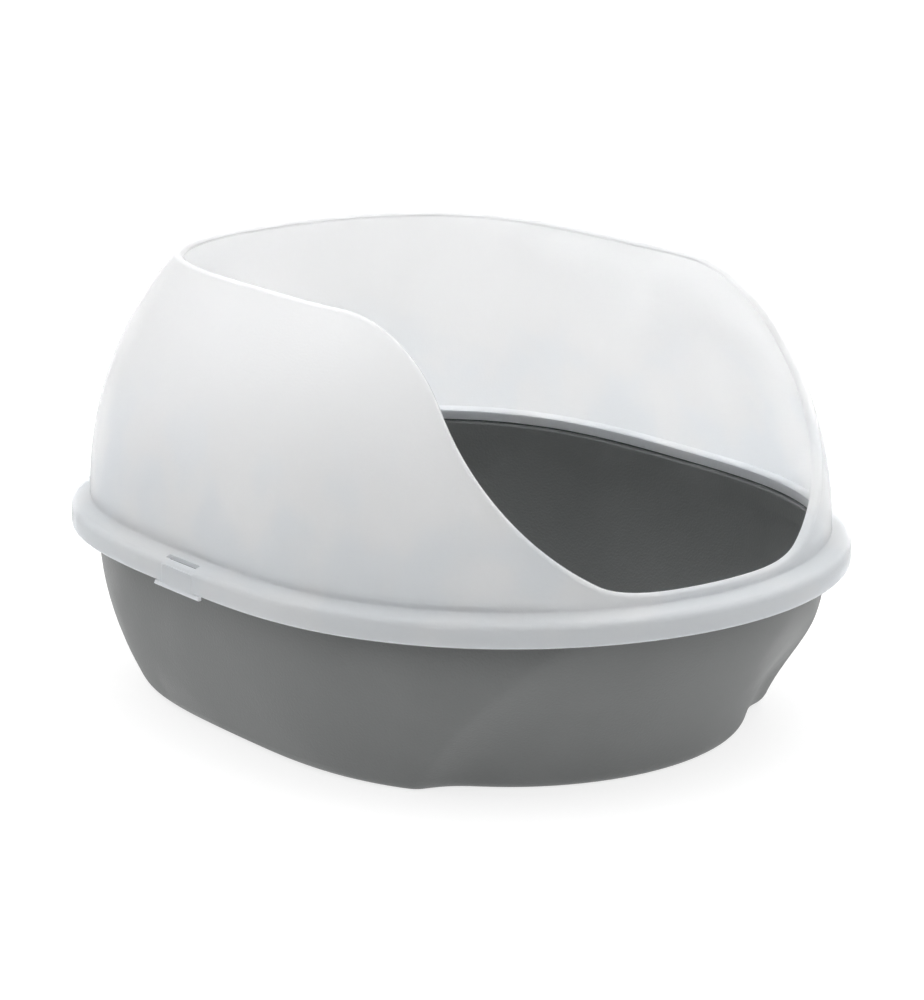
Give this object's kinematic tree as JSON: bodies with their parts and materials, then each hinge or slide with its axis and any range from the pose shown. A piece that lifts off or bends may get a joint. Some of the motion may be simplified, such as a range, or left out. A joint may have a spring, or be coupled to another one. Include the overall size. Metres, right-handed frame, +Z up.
{
  "type": "cat litter box with hood",
  "caption": "Deep oval litter tray under an open-topped, high-sided translucent surround that lifts off and dips to a low front entry.",
  "frame": {"origin": "on the floor, under the middle of the box", "axes": "+Z up; the low entry faces -Y; the box is symmetric about the plane X = 0"},
  "size_m": [0.4008, 0.4902, 0.2634],
  "materials": {
    "grey_tray": "matte",
    "frosted_hood": "frosted"
  },
  "bodies": {
    "base": {"base_tray": "grey_tray"},
    "hood": {"hood": "frosted_hood"},
    "left_clip": {"left_clip": "frosted_hood"},
    "right_clip": {"right_clip": "frosted_hood"}
  },
  "joints": [
    {"name": "hood_lift", "type": "slide", "parent": "base", "child": "hood", "axis": [0, 0, 1], "range_m": [0, 0.15]},
    {"name": "left_clip_flex", "type": "hinge", "parent": "hood", "child": "left_clip", "pos_m": [-0.19843, 0.00521, 0.1116], "axis": [0.0146, 0.9999, 0], "range_deg": [0, 12], "stiffness_Nm_per_rad": 0.3},
    {"name": "right_clip_flex", "type": "hinge", "parent": "hood", "child": "right_clip", "pos_m": [0.19843, 0.00521, 0.1116], "axis": [0.0146, -0.9999, 0], "range_deg": [0, 12], "stiffness_Nm_per_rad": 0.3}
  ]
}
